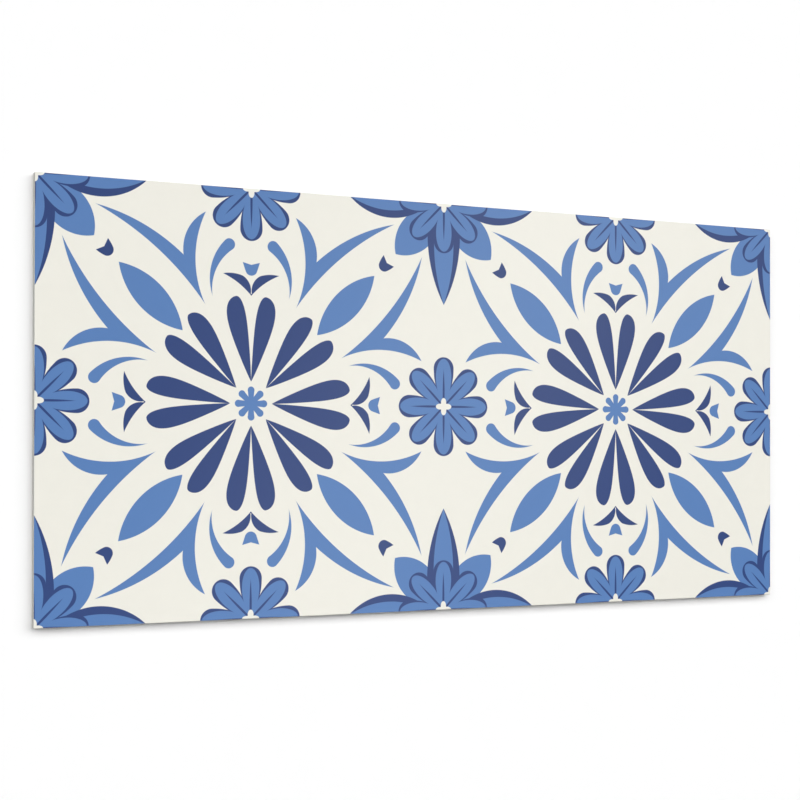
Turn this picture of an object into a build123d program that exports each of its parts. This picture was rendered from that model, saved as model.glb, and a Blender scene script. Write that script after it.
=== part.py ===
"""Peel and stick wall panel: one flat board of white expanded PVC, printed on its face.

Frame, in millimetres: the board lies face up on its back. The origin is the centre of the back
face, +X runs along the length, +Y along the height on the wall, and +Z points out of the print.
"""

import os

from build123d import *

# Driving dimensions, in millimetres
PANEL_LENGTH = 600.0
PANEL_HEIGHT = 300.0
BOARD_THICKNESS = 5.0
CORNER_RADIUS = 0.5
FACE_ARRIS_RADIUS = 0.4
BACK_ARRIS_CHAMFER = 0.2


def cut_blank():
    """The blank as cut from the sheet, with its four corners barely broken."""
    with BuildPart() as blank:
        with BuildSketch(Plane.XY):
            RectangleRounded(PANEL_LENGTH, PANEL_HEIGHT, CORNER_RADIUS)
        extrude(amount=BOARD_THICKNESS)
    return blank.part


def ease_arrises(blank):
    """Rounds the edge round the printed face and takes the burr off the edge round the back."""
    face_edges = blank.faces().sort_by(Axis.Z)[-1].outer_wire().edges()
    eased = fillet(face_edges, FACE_ARRIS_RADIUS)
    back_edges = eased.faces().sort_by(Axis.Z)[0].outer_wire().edges()
    return chamfer(back_edges, BACK_ARRIS_CHAMFER)


def wall_panel():
    """The finished board."""
    panel = ease_arrises(cut_blank())
    panel.label = "wall_panel"
    return panel


os.makedirs("parts", exist_ok=True)
export_step(wall_panel(), "parts/wall_panel.step")
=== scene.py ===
"""Peel and stick wall panel: the finish of its printed board, and the studio that it is shown in."""
import math
from collections import namedtuple

import bmesh
import bpy
from bpy.props import FloatProperty, FloatVectorProperty, PointerProperty
from bpy.types import Operator, Panel, PropertyGroup
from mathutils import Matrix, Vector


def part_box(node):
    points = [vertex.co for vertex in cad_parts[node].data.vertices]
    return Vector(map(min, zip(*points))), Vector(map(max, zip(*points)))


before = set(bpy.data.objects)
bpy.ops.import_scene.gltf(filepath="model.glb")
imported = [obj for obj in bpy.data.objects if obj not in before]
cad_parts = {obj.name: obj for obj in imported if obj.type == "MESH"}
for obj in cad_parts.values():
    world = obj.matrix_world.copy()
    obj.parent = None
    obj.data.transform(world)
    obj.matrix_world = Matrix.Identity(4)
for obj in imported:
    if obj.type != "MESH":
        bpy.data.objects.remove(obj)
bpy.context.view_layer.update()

bl_info = {
    "name": "Peel and Stick Wall Panel",
    "version": (1, 0, 0),
    "blender": (4, 5, 0),
    "location": "3D View > Sidebar > Wall Panel",
    "description": "Finishes a printed wall panel and sets it in a small studio",
    "category": "Object",
}

MM = 0.001
BOARD_LOW, BOARD_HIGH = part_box("wall_panel")
BOARD_MIDDLE = (BOARD_LOW + BOARD_HIGH) / 2
BOARD_HEIGHT = BOARD_HIGH.y - BOARD_LOW.y
BOARD_THICKNESS = BOARD_HIGH.z - BOARD_LOW.z

# The ornament is drawn in millimetres, from the middle of a square repeat of this side.
DRAWN_REPEAT = 300.0
HALF = DRAWN_REPEAT / 2
EIGHTH_FOLD = math.radians(22.5)

# Heights above the back, in millimetres, where the paper ends and where the printed film begins.
PAPER_TOP = 0.1
FILM_DROP = 0.08
FILM_START = BOARD_THICKNESS / MM - FILM_DROP

# The edge of a coat fades over its softness, and the film's also wanders by its raggedness, in millimetres.
COAT_SOFTNESS = 0.08
FILM_RAGGEDNESS = 0.1
FILM_RAG_SIZE = 0.5
SPECULAR_LEVEL = 0.3

# The camera stands to the left of the panel and looks down at it.
CAMERA_PLACE = (-0.49966, -0.03494, 1.00767)
CAMERA_TURN = (0.333, -24.842, 0.096)
CAMERA_LENS = 68.19
CAMERA_SENSOR = 36.0
CAMERA_SHIFT = 0.055

# The floor lies a little below the paper, and throws back less light than it shows.
FLOOR_HALF_SIDE = 6.0
FLOOR_GAP = 1.4 * MM
FLOOR_BOUNCE = 0.6

# The window is a broad bright field of the room, above the panel and beyond its top edge.
# Its limits are slopes: how far to the side, or beyond, a spot of it lies for each metre of height.
WINDOW_SIDE = 2.5
WINDOW_NEAR = 0.06
WINDOW_FAR = 1.25

# The strip hangs level, high up beyond the right end, where the film mirrors it to the camera.
STRIP_PLACE = (1.02, 0.10, 2.0)
STRIP_TURN = 57
STRIP_LENGTH = 2.6
STRIP_WIDTH = 0.5

WHITE = (1, 1, 1, 1)


def ink(red, green, blue):
    """Turns a screen colour of 0 to 255 into the linear colour that a shader takes."""
    shares = (red / 255, green / 255, blue / 255)
    return tuple(s / 12.92 if s <= 0.04045 else ((s + 0.055) / 1.055) ** 2.4 for s in shares)


# Settings that a user would change

class WALLPANEL_PG_finish(PropertyGroup):
    """Sizes and colours of the board's print, cut edge and paper"""
    repeat: FloatProperty(
        name="Pattern repeat", description="Side of one square repeat of the printed ornament",
        default=BOARD_HEIGHT, min=0.02, unit="LENGTH", subtype="DISTANCE")
    ground: FloatVectorProperty(
        name="Ground", description="Cream ground of the print",
        default=ink(237, 235, 225), size=3, min=0, max=1, subtype="COLOR")
    light_ink: FloatVectorProperty(
        name="Light ink", description="Mid blue of the blades, strokes and flower petals",
        default=ink(80, 123, 182), size=3, min=0, max=1, subtype="COLOR")
    deep_ink: FloatVectorProperty(
        name="Deep ink", description="Dark blue of the rosette petals and outlines",
        default=ink(25, 57, 118), size=3, min=0, max=1, subtype="COLOR")
    # This grey is darker than the foam's own white. It is partly the foam's colour and partly painted shade
    # that darkens every cut edge.
    foam_and_painted_shade: FloatVectorProperty(
        name="Foam", description="Foamed core that shows at the cut edges",
        default=ink(210, 209, 204), size=3, min=0, max=1, subtype="COLOR")
    paper: FloatVectorProperty(
        name="Backing paper", description="Release paper over the adhesive on the back",
        default=ink(236, 229, 208), size=3, min=0, max=1, subtype="COLOR")
    ink_edge: FloatProperty(
        name="Ink edge", description="Width over which an ink fades out at its edge",
        default=0.25 * MM, min=0.01 * MM, unit="LENGTH", subtype="DISTANCE")
    gloss: FloatProperty(
        name="Film roughness", description="Roughness of the printed film",
        default=0.34, min=0, max=1, subtype="FACTOR")


class WALLPANEL_PG_studio(PropertyGroup):
    """Light on the panel and colour of the floor"""
    floor: FloatVectorProperty(
        name="Floor", description="Colour of the floor under the panel",
        default=(1.0, 1.0, 1.0), size=3, min=0, max=1, subtype="COLOR")
    room_share: FloatProperty(
        name="Room light", description="Share of the light on the face that comes from all around",
        default=0.12, min=0, subtype="FACTOR")
    window_brightness: FloatProperty(
        name="Window", description="Brightness of the window above the panel, where white is 1",
        default=2.53, min=0)
    strip_brightness: FloatProperty(
        name="Strip light", description="Brightness of the strip that gleams in the film, where white is 1",
        default=3.8, min=0)


# Shader values

class Value:
    """A socket of a node tree. An expression on values adds the Math nodes that work it out."""

    def __init__(self, tree, socket=None):
        self.tree = tree
        self.socket = socket

    def node(self, kind, settings=None, sockets=None, output=0):
        """Adds a node, with its settings first and then its sockets' values or links."""
        node = self.tree.nodes.new(kind)
        for name, setting in (settings or {}).items():
            setattr(node, name, setting)
        for name, given in (sockets or {}).items():
            if isinstance(given, Value):
                self.tree.links.new(given.socket, node.inputs[name])
            else:
                node.inputs[name].default_value = given
        return Value(self.tree, node.outputs[output] if node.outputs else None)

    def output(self, name):
        """Gives another output of the node that this value comes from."""
        return Value(self.tree, self.socket.node.outputs[name])

    def math(self, operation, *given, clamp=False):
        """Adds a Math node that works on what is given, in its order."""
        settings = {"operation": operation, "use_clamp": clamp}
        return self.node("ShaderNodeMath", settings, dict(enumerate(given)))

    def __add__(self, other):
        return self.math("ADD", self, other)

    def __radd__(self, other):
        return self.math("ADD", other, self)

    def __sub__(self, other):
        return self.math("SUBTRACT", self, other)

    def __rsub__(self, other):
        return self.math("SUBTRACT", other, self)

    def __mul__(self, other):
        return self.math("MULTIPLY", self, other)

    def __rmul__(self, other):
        return self.math("MULTIPLY", other, self)

    def __truediv__(self, other):
        return self.math("DIVIDE", self, other)

    def __rtruediv__(self, other):
        return self.math("DIVIDE", other, self)

    def __pow__(self, other):
        return self.math("POWER", self, other)

    def __neg__(self):
        return self.math("MULTIPLY", self, -1)


class Place:
    """A point of the drawing in millimetres: how far along a motif it lies, and how far across."""

    def __init__(self, along, across):
        self.along = along
        self.across = across
        self.vector = along.node("ShaderNodeCombineXYZ", sockets={"X": along, "Y": across})

    def measure(self, operation, point):
        """Adds a Vector Math node that gives a number from this place and a fixed point."""
        sockets = {0: self.vector, 1: (*point, 0)}
        return self.vector.node("ShaderNodeVectorMath", {"operation": operation}, sockets, "Value")


def least(first, *others):
    """The least of some values. Of reaches, it is what all the shapes share."""
    for other in others:
        first = first.math("MINIMUM", first, other)
    return first


def most(first, *others):
    """The most of some values. Of reaches, it is the shapes joined."""
    for other in others:
        first = first.math("MAXIMUM", first, other)
    return first


def pick(share, first, second):
    """Goes from one number to another as the share goes from 0 to 1."""
    return share.node("ShaderNodeMix", {"data_type": "FLOAT"}, {0: share, 2: first, 3: second}, 0)


def blend(share, first, second):
    """Goes from one colour to another as the share goes from 0 to 1."""
    return share.node("ShaderNodeMix", {"data_type": "RGBA"}, {0: share, 6: first, 7: second}, 2)


def cover(reach, softness):
    """Turns a reach into a share: 1 inside the shape, 0 outside, with a soft edge."""
    return reach.math("MULTIPLY_ADD", reach, 1 / softness, 0.5, clamp=True)


# Shapes of the drawing, each given as a reach: how far a point lies inside it, in millimetres

def circle_through(start, middle, end):
    """Gives the centre and the radius of the circle through three points."""
    middle_x = middle[0] - start[0]
    middle_y = middle[1] - start[1]
    end_x = end[0] - start[0]
    end_y = end[1] - start[1]
    middle_square = middle_x ** 2 + middle_y ** 2
    end_square = end_x ** 2 + end_y ** 2
    span = 2 * (middle_x * end_y - middle_y * end_x)
    to_x = (end_y * middle_square - middle_y * end_square) / span
    to_y = (middle_x * end_square - end_x * middle_square) / span
    return (start[0] + to_x, start[1] + to_y), math.hypot(to_x, to_y)


def on_rim(centre, radius, bearing):
    """Gives the point on a disc's rim at a bearing from its centre."""
    return centre[0] + radius * math.cos(bearing), centre[1] + radius * math.sin(bearing)


def circle_onto(start, centre, radius, bearing):
    """Gives the circle from a point onto the rim of a disc, which it touches without a corner."""
    touch = on_rim(centre, radius, bearing)
    step = (touch[0] - start[0], touch[1] - start[1])
    outwards = step[0] * math.cos(bearing) + step[1] * math.sin(bearing)
    reach = (step[0] ** 2 + step[1] ** 2) / (2 * outwards)
    return on_rim(touch, -reach, bearing), abs(reach)


def disc(place, centre, radius):
    """Inside a disc."""
    return radius - place.measure("DISTANCE", centre)


def inside(place, start, middle, end):
    """On the hollow side of an arc through three points."""
    return disc(place, *circle_through(start, middle, end))


def outside(place, start, middle, end):
    """On the full side of an arc through three points."""
    centre, radius = circle_through(start, middle, end)
    return place.measure("DISTANCE", centre) - radius


def left_of(place, start, end):
    """To the left of the line from one point to another."""
    length = math.dist(start, end)
    normal = ((start[1] - end[1]) / length, (end[0] - start[0]) / length)
    return place.measure("DOT_PRODUCT", normal) - (normal[0] * start[0] + normal[1] * start[1])


def spoon(place, widest, tip, heel, half_width):
    """Inside two half ellipses that meet where the petal is widest."""
    beyond = (place.along - widest) * (half_width / tip)
    before = (widest - place.along) * (half_width / heel)
    return disc(Place(most(beyond, before), place.across), (0, 0), half_width)


def fold_on_diagonal(along, across):
    """Folds a quarter of the drawing on its diagonal, so that two like halves become one."""
    return Place(most(along, across), least(along, across))


def fold_to_eighth(place):
    """Folds once more, on the line between two petals, so that eight petals become one."""
    sine = math.sin(EIGHTH_FOLD)
    cosine = math.cos(EIGHTH_FOLD)
    over = most(place.measure("DOT_PRODUCT", (-sine, cosine)), 0)
    return Place(place.along + over * (2 * sine), place.across - over * (2 * cosine))


# Motifs of the ornament

def rosette_heart(eighth):
    """Small flower with eight round petals in the middle of the repeat."""
    petal_end = (9.4, 0)
    petal_radius = 2.5
    stalk_half_width = 1.5
    stalk_flare = 0.1
    stalk_side = eighth.along * stalk_flare + stalk_half_width - eighth.across
    stalk = least(petal_end[0] - eighth.along, stalk_side)
    return most(disc(eighth, petal_end, petal_radius), stalk)


def rosette_petal(eighth):
    """Dark petal of the rosette, which starts in a point, swells to one side and ends full."""
    root = 15.4
    length = 60.3
    tilt = math.radians(10.6)
    outer_swell = 13.7
    inner_swell = 7.0
    rise = 0.87
    fullness = 4.6
    step = eighth.along - root
    run = step * math.cos(tilt) + eighth.across * math.sin(tilt)
    side = eighth.across * math.cos(tilt) - step * math.sin(tilt)
    share = run.math("DIVIDE", run, length, clamp=True)
    swell = share ** rise * (1 - share ** fullness) ** 0.5
    return least(swell * outer_swell - side, swell * inner_swell + side, run, length - run)


def axis_leaf(place):
    """Dark leaf, one of a pair that opens outwards from the axis."""
    root = (75.2, 0)
    tip = (90, 20.6)
    knee = (89.1, 6.4)
    stalk_end = 76.6
    belly_start = (77, 0.3)
    side = outside(place, root, (83.4, 8.9), tip)
    back = inside(place, tip, (90.55, 14.5), knee)
    belly = inside(place, belly_start, (85.4, 2.3), knee)
    return least(side, back, most(belly, place.across - knee[1], stalk_end - place.along))


def tulip(place):
    """Small tulip between the two axis leaves."""
    mouth = (96.8, 0)
    horn = (98.5, 6.3)
    shoulder = (92.6, 4.35)
    flare_start = 93
    cup = disc(place, centre=(93.7, 0), radius=4.45)
    flare = least(place.along - flare_start, left_of(place, horn, shoulder))
    return least(most(cup, flare), left_of(place, mouth, horn))


def comma(place):
    """Long stroke that runs smoothly onto a round head."""
    head = ((110.3, 16.1), 4.15)
    back_start = (76, 28.75)
    back_bearing = math.radians(45)
    belly_start = (76, 28.4)
    belly_bearing = math.radians(214.5)
    back = disc(place, *circle_onto(back_start, *head, back_bearing))
    belly = -disc(place, *circle_onto(belly_start, *head, belly_bearing))
    neck = left_of(place, on_rim(*head, belly_bearing), on_rim(*head, back_bearing))
    return most(disc(place, *head), least(back, belly, neck))


def forked_blade(place):
    """Blade that springs from the rosette and forks into a long tip and a short one."""
    root = (68.3, 33.6)
    fork = (101.3, 48.9)
    long_tip = (132, 109.5)
    short_tip = (131.8, 33.1)
    cut_end = 67.3
    spine = outside(place, root, (100, 62), long_tip)
    long_blade = inside(place, fork, (118, 72.2), long_tip)
    short_blade = inside(place, fork, (118, 46.4), short_tip)
    foot = outside(place, root, (104, 40.3), short_tip)
    return least(spine, foot, most(long_blade, short_blade), place.along - cut_end)


def almond(place):
    """Pointed leaf on the diagonal."""
    root = (49.4, 49.4)
    tip = (93.9, 93.9)
    return inside(place, root, (74, 60), tip)


def bud(place):
    """Dark bud on the diagonal, with an ear to each side and an open mouth."""
    ear_tip = (109.4, 101.3)
    ear_root = (102.6, 97.4)
    mouth = (103.8, 103.8)
    cup = disc(place, centre=(101.8, 101.8), radius=4.4)
    ear = least(inside(place, ear_root, (106.4, 99.2), ear_tip), place.along - ear_root[0])
    return least(most(cup, ear), left_of(place, ear_tip, mouth))


Flower = namedtuple("Flower", "rim petal vein eye")


def border_flower(place):
    """Flower with eight outlined petals, on the middles of the repeat's sides and on its corners."""
    heart_radius = 13
    vein_tip = (27.2, 0)
    vein_root = (8, 0.8)
    near = fold_on_diagonal(HALF - place.along, least(place.across, HALF - place.across))
    eighth = fold_to_eighth(near)
    rim = spoon(eighth, widest=28.2, tip=8.3, heel=21, half_width=8.15)
    filling = spoon(eighth, widest=22, tip=13.3, heel=16, half_width=6.4)
    petal = most(filling, disc(near, (0, 0), heart_radius))
    vein = inside(eighth, vein_tip, (18, 0.61), vein_root)
    eye = spoon(near, widest=2.8, tip=3.6, heel=9, half_width=2.15)
    return Flower(rim, petal, vein, eye)


CornerLeaf = namedtuple("CornerLeaf", "outline filling")


def corner_leaf(corner, lies):
    """Outlined leaf between two corner flowers. The lying ones are a little fuller than the upright."""
    heart = 28.5
    upright = inside(corner, (74.7, 0), (50, 9.9), (34, 12.8))
    upright_filling = inside(corner, (74.4, 0), (60, 4.4), (40, 7.6))
    lying = inside(corner, (75.1, 0), (60, 9.8), (42, 13.05))
    lying_filling = inside(corner, (74.2, 0), (60, 5.65), (43, 7.7))
    filling = pick(lies, upright_filling, lying_filling)
    return CornerLeaf(pick(lies, upright, lying), least(filling, corner.along - heart))


def plump_leaf(corner):
    """Round leaf that points from the corner flower to the middle of the repeat."""
    tip = (39.3, 39.3)
    heel = (30.95, 11.8)
    return inside(corner, tip, (39.5, 28), heel)


Inks = namedtuple("Inks", "any deep")


def ornament(along, across):
    """Reaches of all the ink and of the deep ink, from the folded distances to the repeat's middle."""
    place = fold_on_diagonal(along, across)
    eighth = fold_to_eighth(place)
    corner = Place(HALF - place.across, HALF - place.along)
    leaf = corner_leaf(corner, along.math("GREATER_THAN", across, along))
    flower = border_flower(place)
    light = most(
        rosette_heart(eighth), tulip(place), comma(place), forked_blade(place), almond(place),
        plump_leaf(corner), leaf.outline, flower.rim, flower.petal)
    deep = most(rosette_petal(eighth), axis_leaf(place), bud(place), leaf.outline)
    deep = most(least(deep, -leaf.filling), flower.rim)
    deep = most(least(deep, -flower.petal), flower.vein)
    return Inks(least(light, -flower.eye), least(deep, -flower.eye))


# Finishes of the board

Finish = namedtuple("Finish", "colour roughness relief")


def lay_over(share, under, upper):
    """Lays one finish over another where the share is 1."""
    return Finish(
        blend(share, under.colour, upper.colour),
        pick(share, under.roughness, upper.roughness),
        pick(share, under.relief, upper.relief))


def mottle(spot, size, detail=2.0):
    """Uneven value from about -0.5 to 0.5, with patches of a size in millimetres."""
    sockets = {"Vector": spot, "Scale": 1 / (size * MM), "Detail": detail}
    return spot.node("ShaderNodeTexNoise", sockets=sockets) - 0.5


def stretched(spot, factors):
    """The same spots, with a pattern drawn out along one way."""
    return spot.node("ShaderNodeVectorMath", {"operation": "MULTIPLY"}, {0: spot, 1: factors})


def shaded(colour, brightness):
    """A colour made lighter or darker by a varying brightness around 1."""
    return brightness.node("ShaderNodeHueSaturation", sockets={"Value": brightness, "Color": colour})


def opaque(colour):
    """A colour with the alpha that a colour socket takes."""
    return (*colour, 1)


def printed_film(spot, settings):
    """Satin film printed with the ornament, with a fine grain in its ink and its surface."""
    bleed_size = 0.35
    bleed_reach = 0.12
    cloud_size = 9
    cloud_detail = 4
    cloud_shade = 0.03
    cloud_roughness = 0.05
    grain_size = 0.8
    grain_shade = 0.02
    grain_relief = 0.012
    position = spot.node("ShaderNodeSeparateXYZ", sockets={"Vector": spot})
    drawn = DRAWN_REPEAT / settings.repeat
    first_along = BOARD_MIDDLE.x + settings.repeat / 2
    along = position.math("PINGPONG", (position - first_along) * drawn, HALF)
    across = position.math("PINGPONG", (position.output("Y") - BOARD_MIDDLE.y) * drawn, HALF)
    inks = ornament(along, across)
    softness = settings.ink_edge * drawn
    bleed = mottle(spot, bleed_size) * bleed_reach
    ground = blend(cover(inks.any + bleed, softness), opaque(settings.ground), opaque(settings.light_ink))
    colour = blend(cover(inks.deep + bleed, softness), ground, opaque(settings.deep_ink))
    clouding = mottle(spot, cloud_size, cloud_detail)
    grain = mottle(spot, grain_size)
    return Finish(
        shaded(colour, 1 + clouding * cloud_shade + grain * grain_shade),
        clouding * cloud_roughness + settings.gloss,
        grain * grain_relief)


def cut_foam(spot, settings):
    """Knife cut through closed foam: fine open cells, drawn out a little by the blade."""
    cell_size = 0.22
    cell_stretch = (1, 1, 0.7)
    cell_shade = 0.12
    cell_relief = 0.03
    drag_size = 0.5
    drag_stretch = (1, 1, 0.08)
    drag_shade = 0.08
    drag_roughness = 0.1
    drag_relief = 0.04
    shade = 0.93
    roughness = 0.8
    sockets = {"Vector": stretched(spot, cell_stretch), "Scale": 1 / (cell_size * MM)}
    cell = spot.node("ShaderNodeTexVoronoi", sockets=sockets)
    drag = mottle(stretched(spot, drag_stretch), drag_size)
    # The foam colour carries painted shade as well as the foam's own colour, so every cut edge is painted
    # darker.
    return Finish(
        shaded(opaque(settings.foam_and_painted_shade), shade + cell * cell_shade + drag * drag_shade),
        roughness + drag * drag_roughness,
        cell * cell_relief + drag * drag_relief)


def release_paper(spot, settings):
    """Pale coated paper with faint fibres and soft waves, slit across so that it peels off in two. The slit
    is darkened with painted shade in the cut.
    """
    slit_half_width = 0.12
    slit_painted_shade = 0.45
    slit_depth = 0.06
    fibre_size = 1.2
    fibre_detail = 5
    fibre_stretch = (1, 0.25, 1)
    fibre_shade = 0.07
    fibre_roughness = 0.15
    fibre_relief = 0.01
    wave_size = 40
    wave_detail = 1
    wave_shade = 0.03
    wave_relief = 0.25
    roughness = 0.55
    position = spot.node("ShaderNodeSeparateXYZ", sockets={"Vector": spot})
    slit = cover(slit_half_width - position.math("ABSOLUTE", position / MM), slit_half_width)
    fibres = mottle(stretched(spot, fibre_stretch), fibre_size, fibre_detail)
    waves = mottle(spot, wave_size, wave_detail)
    # The slit is made darker here: painted shade in the cut.
    shade = 1 + fibres * fibre_shade + waves * wave_shade - slit * slit_painted_shade
    return Finish(
        shaded(opaque(settings.paper), shade),
        roughness + fibres * fibre_roughness,
        fibres * fibre_relief + waves * wave_relief - slit * slit_depth)


def board_material(settings):
    """One material for the board: paper underneath, cut foam round the edge, printed film on top."""
    material = bpy.data.materials.new("printed_foam_board")
    material.use_nodes = True
    tree = material.node_tree
    tree.nodes.clear()
    spot = Value(tree).node("ShaderNodeTexCoord", output="Object")
    height = spot.node("ShaderNodeSeparateXYZ", sockets={"Vector": spot}, output="Z") / MM
    rag = mottle(spot, FILM_RAG_SIZE) * FILM_RAGGEDNESS
    on_film = cover(height - FILM_START + rag, COAT_SOFTNESS)
    on_paper = cover(PAPER_TOP - height, COAT_SOFTNESS)
    finish = lay_over(on_film, cut_foam(spot, settings), printed_film(spot, settings))
    finish = lay_over(on_paper, finish, release_paper(spot, settings))
    normal = spot.node("ShaderNodeBump", sockets={"Strength": 1, "Distance": MM, "Height": finish.relief})
    sockets = {"Base Color": finish.colour, "Roughness": finish.roughness, "Normal": normal,
               "Specular IOR Level": SPECULAR_LEVEL}
    shader = spot.node("ShaderNodeBsdfPrincipled", sockets=sockets)
    spot.node("ShaderNodeOutputMaterial", sockets={"Surface": shader})
    return material


# Studio

def seen_or_mirrored(tree):
    """Gives 1 to a ray that shows the room, straight or in a gloss, and 0 to one that lights."""
    ray = Value(tree).node("ShaderNodeLightPath", output="Is Camera Ray")
    return most(ray, ray.output("Is Glossy Ray"), ray.output("Is Transmission Ray"))


def floor_material(settings):
    """Matt floor that shows its full colour and throws back less light than that on the board's edges."""
    material = bpy.data.materials.new("studio_floor")
    material.use_nodes = True
    tree = material.node_tree
    tree.nodes.clear()
    dim = opaque(FLOOR_BOUNCE * share for share in settings.floor)
    colour = blend(seen_or_mirrored(tree), dim, opaque(settings.floor))
    shader = colour.node("ShaderNodeBsdfDiffuse", sockets={"Color": colour})
    shader.node("ShaderNodeOutputMaterial", sockets={"Surface": shader})
    return material


def add_floor(scene, settings):
    """Plain floor just under the paper."""
    shape = bmesh.new()
    bmesh.ops.create_grid(shape, x_segments=1, y_segments=1, size=FLOOR_HALF_SIDE)
    bmesh.ops.translate(shape, vec=(0, 0, BOARD_LOW.z - FLOOR_GAP), verts=shape.verts)
    mesh = bpy.data.meshes.new("floor")
    shape.to_mesh(mesh)
    shape.free()
    mesh.materials.append(floor_material(settings))
    floor = bpy.data.objects.new("floor", mesh)
    scene.collection.objects.link(floor)


def add_strip(scene, settings):
    """Long narrow light that only shows as a soft gleam in the film."""
    lamp = bpy.data.lights.new("strip", "AREA")
    lamp.shape = "RECTANGLE"
    lamp.size = STRIP_LENGTH
    lamp.size_y = STRIP_WIDTH
    lamp.energy = settings.strip_brightness * math.pi * STRIP_LENGTH * STRIP_WIDTH
    holder = bpy.data.objects.new("strip", lamp)
    holder.location = STRIP_PLACE
    holder.rotation_euler = (0, 0, math.radians(STRIP_TURN))
    holder.visible_diffuse = False
    scene.collection.objects.link(holder)


def add_room(scene, settings):
    """Even light from all around and a broad window, in a room that is white where it is seen."""
    world = bpy.data.worlds.new("white_room")
    world.use_nodes = True
    tree = world.node_tree
    tree.nodes.clear()
    way = Value(tree).node("ShaderNodeTexCoord", output="Generated")
    side = way.node("ShaderNodeSeparateXYZ", sockets={"Vector": way})
    up = side.output("Z")
    beyond = side.output("Y") / up
    in_window = least(
        WINDOW_SIDE - side.math("ABSOLUTE", side / up), beyond - WINDOW_NEAR, WINDOW_FAR - beyond, up)
    lit = settings.room_share + settings.window_brightness * in_window.math("GREATER_THAN", in_window, 0)
    sockets = {"Color": WHITE, "Strength": pick(seen_or_mirrored(tree), lit, 1)}
    light = way.node("ShaderNodeBackground", sockets=sockets)
    way.node("ShaderNodeOutputWorld", sockets={"Surface": light})
    scene.world = world


def add_camera(scene):
    """Camera at the photograph's place."""
    lens = bpy.data.cameras.new("camera")
    lens.sensor_width = CAMERA_SENSOR
    lens.lens = CAMERA_LENS
    lens.shift_y = CAMERA_SHIFT
    camera = bpy.data.objects.new("camera", lens)
    camera.location = CAMERA_PLACE
    camera.rotation_euler = [math.radians(angle) for angle in CAMERA_TURN]
    scene.collection.objects.link(camera)
    scene.camera = camera


# Operators and sidebar

class WALLPANEL_OT_finish_board(Operator):
    """Give the board its printed face, its cut edge and its release paper"""
    bl_idname = "wallpanel.finish_board"
    bl_label = "Finish Board"

    def execute(self, context):
        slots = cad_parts["wall_panel"].material_slots
        if not slots:
            raise RuntimeError("The board has no material slot for its finish")
        material = board_material(context.scene.wall_panel_finish)
        for slot in slots:
            slot.material = material
        return {"FINISHED"}


class WALLPANEL_OT_set_studio(Operator):
    """Set the panel on a white floor in soft light, in front of the camera"""
    bl_idname = "wallpanel.set_studio"
    bl_label = "Set Studio"

    def execute(self, context):
        scene = context.scene
        settings = scene.wall_panel_studio
        add_floor(scene, settings)
        add_room(scene, settings)
        add_strip(scene, settings)
        add_camera(scene)
        scene.view_settings.view_transform = "Standard"
        return {"FINISHED"}


class WALLPANEL_PT_sidebar(Panel):
    """Sizes, colours and steps of the wall panel"""
    bl_idname = "WALLPANEL_PT_sidebar"
    bl_label = "Wall Panel"
    bl_space_type = "VIEW_3D"
    bl_region_type = "UI"
    bl_category = "Wall Panel"

    def draw(self, context):
        scene = context.scene
        steps = (
            (scene.wall_panel_finish, WALLPANEL_OT_finish_board),
            (scene.wall_panel_studio, WALLPANEL_OT_set_studio))
        for settings, step in steps:
            box = self.layout.box()
            for name in type(settings).__annotations__:
                box.prop(settings, name)
            box.operator(step.bl_idname)


CLASSES = (
    WALLPANEL_PG_finish,
    WALLPANEL_PG_studio,
    WALLPANEL_OT_finish_board,
    WALLPANEL_OT_set_studio,
    WALLPANEL_PT_sidebar,
)


def register():
    for kind in CLASSES:
        bpy.utils.register_class(kind)
    bpy.types.Scene.wall_panel_finish = PointerProperty(type=WALLPANEL_PG_finish)
    bpy.types.Scene.wall_panel_studio = PointerProperty(type=WALLPANEL_PG_studio)


def unregister():
    del bpy.types.Scene.wall_panel_studio
    del bpy.types.Scene.wall_panel_finish
    for kind in reversed(CLASSES):
        bpy.utils.unregister_class(kind)


def main():
    """Finishes the panel and sets the studio."""
    register()
    bpy.ops.wallpanel.finish_board()
    bpy.ops.wallpanel.set_studio()


if __name__ == "__main__":
    main()
